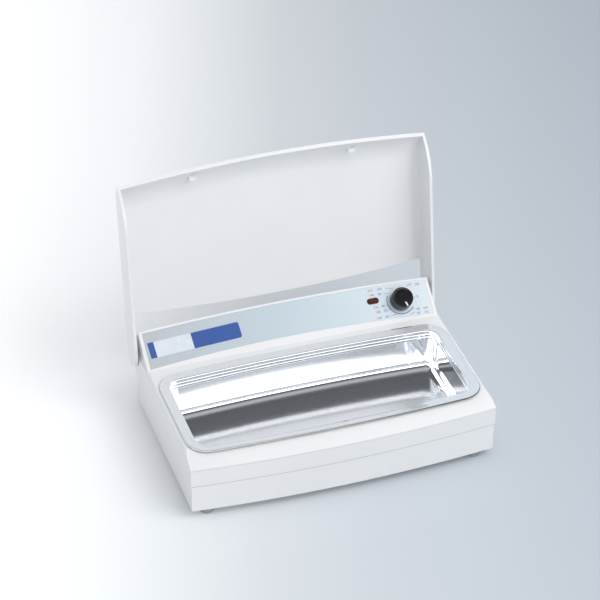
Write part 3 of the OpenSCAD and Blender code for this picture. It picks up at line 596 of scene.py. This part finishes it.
for text, x, v, ink in NUMBERS:
    curve = bpy.data.curves.new("number", "FONT")
    curve.body = text
    curve.size = 3.7 * MM
    curve.align_x = "CENTER"
    curve.align_y = "CENTER"
    curve.extrude = PRINT_T / 2
    writer = bpy.data.objects.new("number", curve)
    scene.collection.objects.link(writer)
    bpy.context.view_layer.update()
    evaluated = writer.evaluated_get(bpy.context.evaluated_depsgraph_get())
    mesh = bpy.data.meshes.new_from_object(evaluated)
    bpy.data.objects.remove(writer)
    co = np.empty(3 * len(mesh.vertices))
    mesh.vertices.foreach_get("co", co)
    co = co.reshape(-1, 3) + (x * MM, v * MM, PRINT_LIFT + PRINT_T / 2)
    mesh.vertices.foreach_set("co", on_panel(co).ravel())
    mesh.update()
    number = bpy.data.objects.new(f"dial_number_{text}", mesh)
    scene.collection.objects.link(number)
    number.data.materials.clear()
    printed(number, ink)


# Pilot lamp: a dark red moulded lens in a thin black frame, pushed through the foil
# into the lamp's body, which clips behind the panel.
LAMP_X, LAMP_V, LAMP_W, LAMP_H = 96.3 * MM, 28.6 * MM, 12.4 * MM, 5.8 * MM


def slot_outline(width, height, steps=14):
    """Slot round the lamp's middle: four quarter circles whose radius is 0.47 of the height."""
    r = 0.47 * height
    turn = np.linspace(0, np.pi / 2, steps)
    quarter = np.column_stack([np.cos(turn), np.sin(turn)]) * r
    w, h = width / 2 - r, height / 2 - r
    corners = [
        quarter + (w, h),
        quarter[::-1] * (-1, 1) + (-w, h),
        quarter * (-1, -1) + (-w, -h),
        quarter[::-1] * (1, -1) + (w, -h),
    ]
    return np.concatenate(corners) + (LAMP_X, LAMP_V)


FRAME_OUT, FRAME_IN, FRAME_T = 1.0 * MM, 0.6 * MM, 0.35 * MM
outside = slot_outline(LAMP_W + FRAME_OUT, LAMP_H + FRAME_OUT)
inside = slot_outline(LAMP_W - FRAME_IN, LAMP_H - FRAME_IN)
n = len(outside)
foil_top, frame_top = FOIL_FACE, FOIL_FACE + FRAME_T
levels = [(outside, foil_top), (outside, frame_top), (inside, frame_top), (inside, foil_top)]
frame_points = np.concatenate([np.column_stack([edge, np.full(n, z)]) for edge, z in levels])
frame_faces = (grid_quads(5, n) % len(frame_points)).reshape(-1, 4).tolist()
lamp_frame = add_mesh("lamp_frame", on_panel(frame_points), frame_faces, smooth=False)
dark_plastic = moulded("black_plastic", (0.02, 0.02, 0.022), 0.38, 0.00001)
lamp_frame.data.materials.append(dark_plastic)
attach(lamp_frame, "base")
red_lens, tree, shader = node_material("lamp_red", (0.16, 0.012, 0.014), 0.16)
depth_tone = object_noise(tree, 500, 2)
LENS_STOPS = [(0.35, (0.05, 0.012, 0.012)), (0.65, (0.13, 0.025, 0.022))]
tree.links.new(ramp(tree, depth_tone.outputs["Fac"], LENS_STOPS), shader.inputs["Base Color"])
dress(red_lens, "pilot_lens")
dress(dark_plastic, "pilot_body")


# Thermostat, its copper capillary and bulb, and the wiring behind the panel: bought
# parts, clamped by the thermostat's nut or screwed to the lower shell.
dress(moulded("thermostat_case", (0.05, 0.05, 0.055), 0.5, 0.00002), "thermostat_body")
dress(zinc, "thermostat_nut", "thermostat_shaft")
dress(dark_plastic, "safety_cutout")
dress(plated("copper", (0.72, 0.36, 0.22), 0.26, 400), "capillary", "sensor_bulb")
dress(plated("brass", (0.72, 0.55, 0.24), 0.3, 600), "earth_lug")
dress(moulded("cream_plastic", (0.74, 0.71, 0.58), 0.42, 0.00002), "terminal_block")
dress(moulded("wire_cover", (0.035, 0.05, 0.3), 0.45, 0.00001), "wiring")


# Temperature knob: a moulded black knob with a dished face and a low rim, pushed on the
# thermostat's shaft. A white pointer is set in its face.
def lathe(name, profile, steps, place):
    """Revolves a profile (radius, height) round an axis; place turns local points into the frame.

    A radius of zero at an end is one pole, and the profile runs so that faces point out."""
    profile = np.asarray(profile, float)
    angle = np.arange(steps) * 2 * np.pi / steps
    start = 1 if profile[0, 0] < 1e-9 else 0
    stop = len(profile) - 1 if profile[-1, 0] < 1e-9 else len(profile)
    body = profile[start:stop]
    x, y = np.outer(body[:, 0], np.cos(angle)), np.outer(body[:, 0], np.sin(angle))
    points = np.stack([x, y, np.repeat(body[:, 1:], steps, 1)], -1).reshape(-1, 3)
    faces = grid_quads(len(body), steps).reshape(-1, 4).tolist()
    ends = []
    around = np.arange(steps)
    if start:
        ends += [(len(points), int(b), int(a)) for a, b in zip(around, (around + 1) % steps)]
        points = np.concatenate([points, [(0, 0, profile[0, 1])]])
    if stop < len(profile):
        base = (len(body) - 1) * steps
        ends += [(len(points), base + int(a), base + int(b)) for a, b in zip(around, (around + 1) % steps)]
        points = np.concatenate([points, [(0, 0, profile[-1, 1])]])
    return add_mesh(name, place(points), faces + ends)


def at_knob(points):
    return on_panel(np.asarray(points) + (KNOB_X, KNOB_V, 0))


bend = np.linspace(0, np.pi / 2, 9)
knob_profile = [(0, 9.0), (2.95, 9.0), (2.95, 2.5), (8.6, 2.5), (8.6, 0.7), (8.7, 0.6)]
knob_profile += [(11.7, 0.6), (12.0, 0.9), (11.9, 4.0)]
knob_profile += [(10.6 + 1.1 * np.cos(a), 10.3 + 1.1 * np.sin(a)) for a in bend]
knob_profile += [(10.2, 11.3), (9.7, 11.0), (9.0, 10.85), (5.0, 10.95), (0, 11.0)]
knob = lathe("turned_knob", np.array(knob_profile) * MM, 160, at_knob)
black, tree, shader = node_material("knob_black", (0.006, 0.006, 0.007), 0.16)
sheen = object_noise(tree, 300, 3)
gloss = ramp(tree, sheen.outputs["Fac"], [(0.3, grey(0.1)), (0.7, grey(0.2))])
tree.links.new(gloss, shader.inputs["Roughness"])
fine = object_noise(tree, 3000, 2)
bump(tree, shader, fine.outputs["Fac"], 0.00001, 0.5)
knob.data.materials.append(black)
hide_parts("temperature_knob")
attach(knob, "knob")
dress(print_ink("pointer_white", (0.85, 0.85, 0.85)), "knob_pointer")


# Feet and cord gland: four grey rubber feet, each on its screw with the head sunk in it,
# and a black gland with its nut, which closes the cord's hole in the rear wall.
dress(moulded("foot_rubber", (0.3, 0.32, 0.34), 0.75, 0.00006), "rubber_feet")
dress(zinc, "foot_screws", "housing_screws")
dress(dark_plastic, "cord_gland", "gland_nut")


# Lid: a shell of the same white ABS, moulded in one piece, that turns on two steel pins
# in white bushes. Ejector pins of the mould leave two faint round marks inside it.
white_abs = moulded("white_abs", ABS_COLOUR, ABS_ROUGHNESS, ABS_GRAIN)
dress(white_abs, "lid_shell", "lid_buffers")
dress(moulded("bush_plastic", (0.72, 0.72, 0.7), 0.3, 0.00001), "hinge_bushes")
dress(zinc, "hinge_pins")
LID_OPEN = np.radians(99)
LID_INNER, MARK_LIFT = 19.4 * MM, 0.06 * MM
MARK_RADII, MARK_STEPS = np.array([3.4, 3.1, 2.5, 2.2]) * MM, 40
along_lid = np.array([0, -np.cos(LID_OPEN), np.sin(LID_OPEN)])
off_lid = np.array([0, np.sin(LID_OPEN), np.cos(LID_OPEN)])
turn = np.linspace(0, 2 * np.pi, MARK_STEPS, endpoint=False)
radii = np.repeat(MARK_RADII, MARK_STEPS)
lifts = LID_INNER - np.repeat([0, MARK_LIFT, MARK_LIFT, 0], MARK_STEPS)
mark_faces = grid_quads(4, MARK_STEPS).reshape(-1, 4).tolist()
for i, (mark_x, mark_u) in enumerate([(-149.5, 121), (-68, 106)]):
    across = mark_x * MM + radii * np.tile(np.cos(turn), 4)
    along = mark_u * MM + radii * np.tile(np.sin(turn), 4)
    ring = np.array(pivot) + across[:, None] * np.array([1, 0, 0])
    ring = ring + along[:, None] * along_lid + lifts[:, None] * off_lid
    mark = add_mesh(f"ejector_mark_{i}", ring, mark_faces)
    mark.data.materials.append(white_abs)
    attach(mark, "lid")
